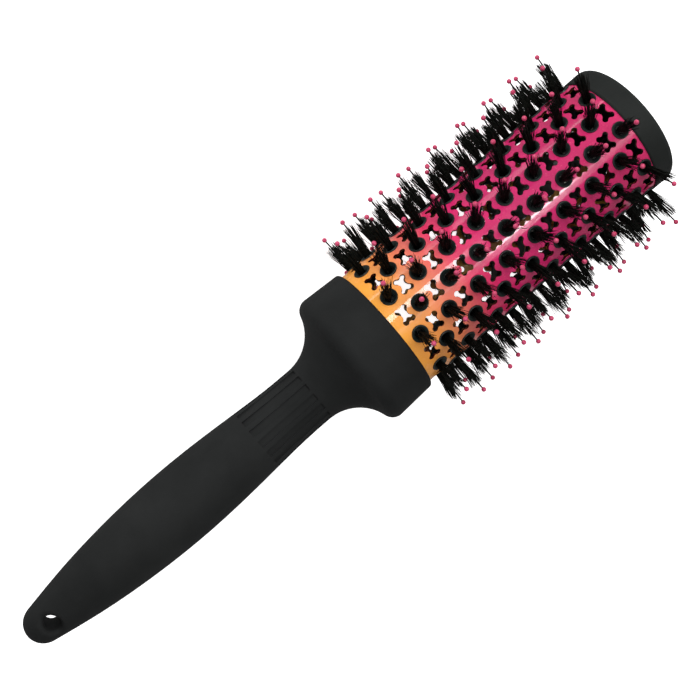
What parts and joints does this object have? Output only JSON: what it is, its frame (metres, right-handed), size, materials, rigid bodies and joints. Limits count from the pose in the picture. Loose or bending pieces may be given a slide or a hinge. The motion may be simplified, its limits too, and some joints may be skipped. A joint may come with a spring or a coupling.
{
  "type": "round hair brush",
  "caption": "Round thermal hair brush: vented metal barrel set with boar tufts and ball-tipped nylon pins, soft waisted handle with a collar and hang hole.",
  "frame": {"origin": "centre of the hang hole in the handle's tail, on the brush's axis", "axes": "+X along the brush, from the tail to the tip; +Z along the hang hole; +Y across, to complete a right-handed frame"},
  "size_m": [0.2497, 0.0706, 0.0712],
  "materials": {
    "soft_grip": "soft-touch matte, moulded",
    "core_plastic": "moulded",
    "barrel_coating": "glossy ceramic coating, orange at the collar fading to magenta pink at the tip",
    "strip_plastic": "moulded, slightly glossy rims",
    "cap_plastic": "soft satin, moulded",
    "anchor_steel": "plain wire",
    "boar_bristle": "natural black bristle, dense tufts",
    "nylon_pin": "drawn nylon",
    "ball_tip": "dipped and cured, satin"
  },
  "bodies": {
    "root": {"handle_grip": "soft_grip", "handle_core": "core_plastic", "barrel_tube": "barrel_coating", "rear_strip_ring": "strip_plastic", "front_strip_ring": "strip_plastic", "end_cap": "cap_plastic", "tuft_anchors": "anchor_steel", "tuft_strip_1": "strip_plastic", "bristle_tufts_1": "boar_bristle", "nylon_pins_1": "nylon_pin", "ball_tips_1": "ball_tip", "tuft_strip_2": "strip_plastic", "bristle_tufts_2": "boar_bristle", "nylon_pins_2": "nylon_pin", "ball_tips_2": "ball_tip", "tuft_strip_3": "strip_plastic", "bristle_tufts_3": "boar_bristle", "nylon_pins_3": "nylon_pin", "ball_tips_3": "ball_tip", "tuft_strip_4": "strip_plastic", "bristle_tufts_4": "boar_bristle", "nylon_pins_4": "nylon_pin", "ball_tips_4": "ball_tip", "tuft_strip_5": "strip_plastic", "bristle_tufts_5": "boar_bristle", "nylon_pins_5": "nylon_pin", "ball_tips_5": "ball_tip", "tuft_strip_6": "strip_plastic", "bristle_tufts_6": "boar_bristle", "nylon_pins_6": "nylon_pin", "ball_tips_6": "ball_tip", "tuft_strip_7": "strip_plastic", "bristle_tufts_7": "boar_bristle", "nylon_pins_7": "nylon_pin", "ball_tips_7": "ball_tip", "tuft_strip_8": "strip_plastic", "bristle_tufts_8": "boar_bristle", "nylon_pins_8": "nylon_pin", "ball_tips_8": "ball_tip", "tuft_strip_9": "strip_plastic", "bristle_tufts_9": "boar_bristle", "nylon_pins_9": "nylon_pin", "ball_tips_9": "ball_tip"}
  },
  "joints": []
}
